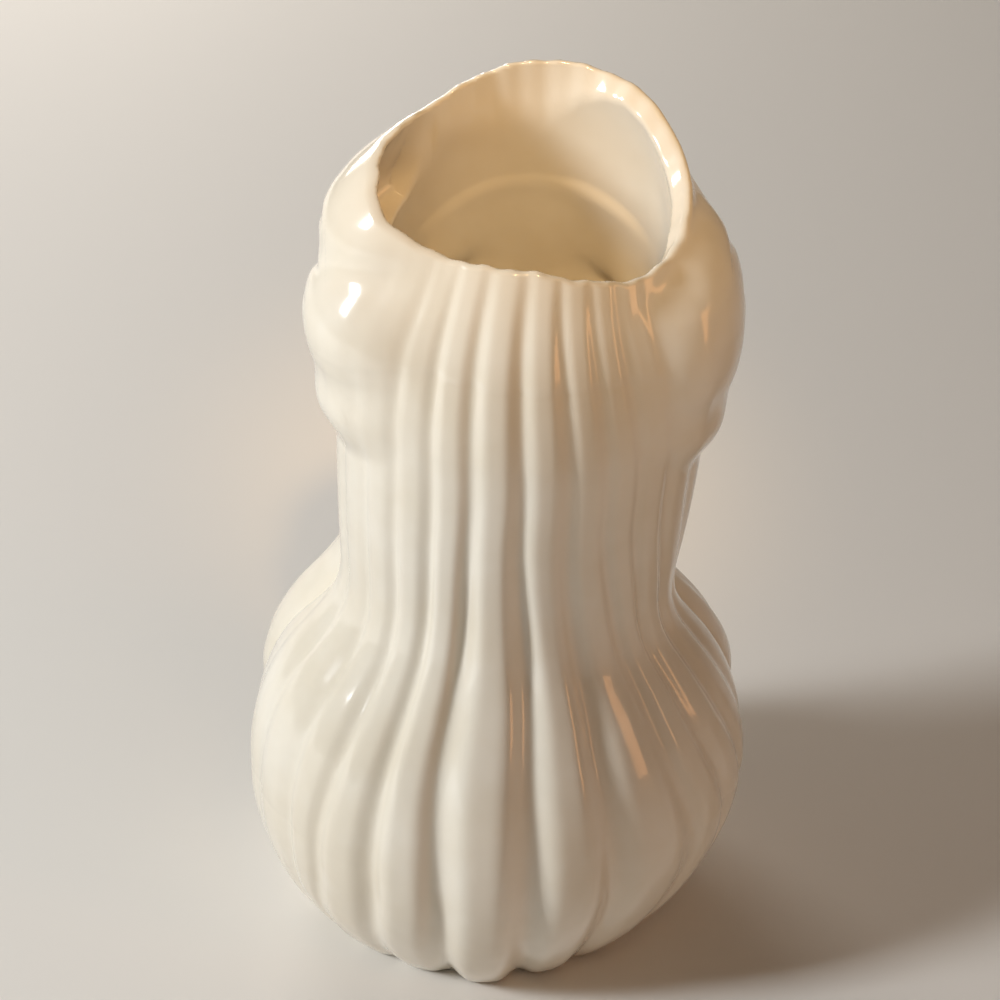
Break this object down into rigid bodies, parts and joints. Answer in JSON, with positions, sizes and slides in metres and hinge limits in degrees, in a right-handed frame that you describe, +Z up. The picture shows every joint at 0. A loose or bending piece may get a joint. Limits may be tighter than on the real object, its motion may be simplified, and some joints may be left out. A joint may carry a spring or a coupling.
{
  "type": "head vase",
  "caption": "Hollow glazed figure vase: a lady's head and shoulders with long fluted hair that flares over a round bulb, open at a tilted mouth in the crown.",
  "frame": {"origin": "centre of the round base plate, on the resting face", "axes": "+Z up, -Y the way the face looks, +X the figure's left side"},
  "size_m": [0.1656, 0.1413, 0.2899],
  "materials": {
    "glaze": "glossy cream glaze over white clay",
    "bare_clay": "unglazed fired clay, matt"
  },
  "bodies": {
    "root": {"crown_hair": "glaze", "rear_hair_fall": "glaze", "left_upper_curl": "glaze", "left_middle_curl": "glaze", "left_lower_curl": "glaze", "right_upper_curl": "glaze", "right_lower_curl": "glaze", "left_front_wave": "glaze", "right_front_wave": "glaze", "left_front_lock": "glaze", "right_front_lock": "glaze", "face": "glaze", "neck_and_chest": "glaze", "base_plate": "bare_clay"}
  },
  "joints": []
}
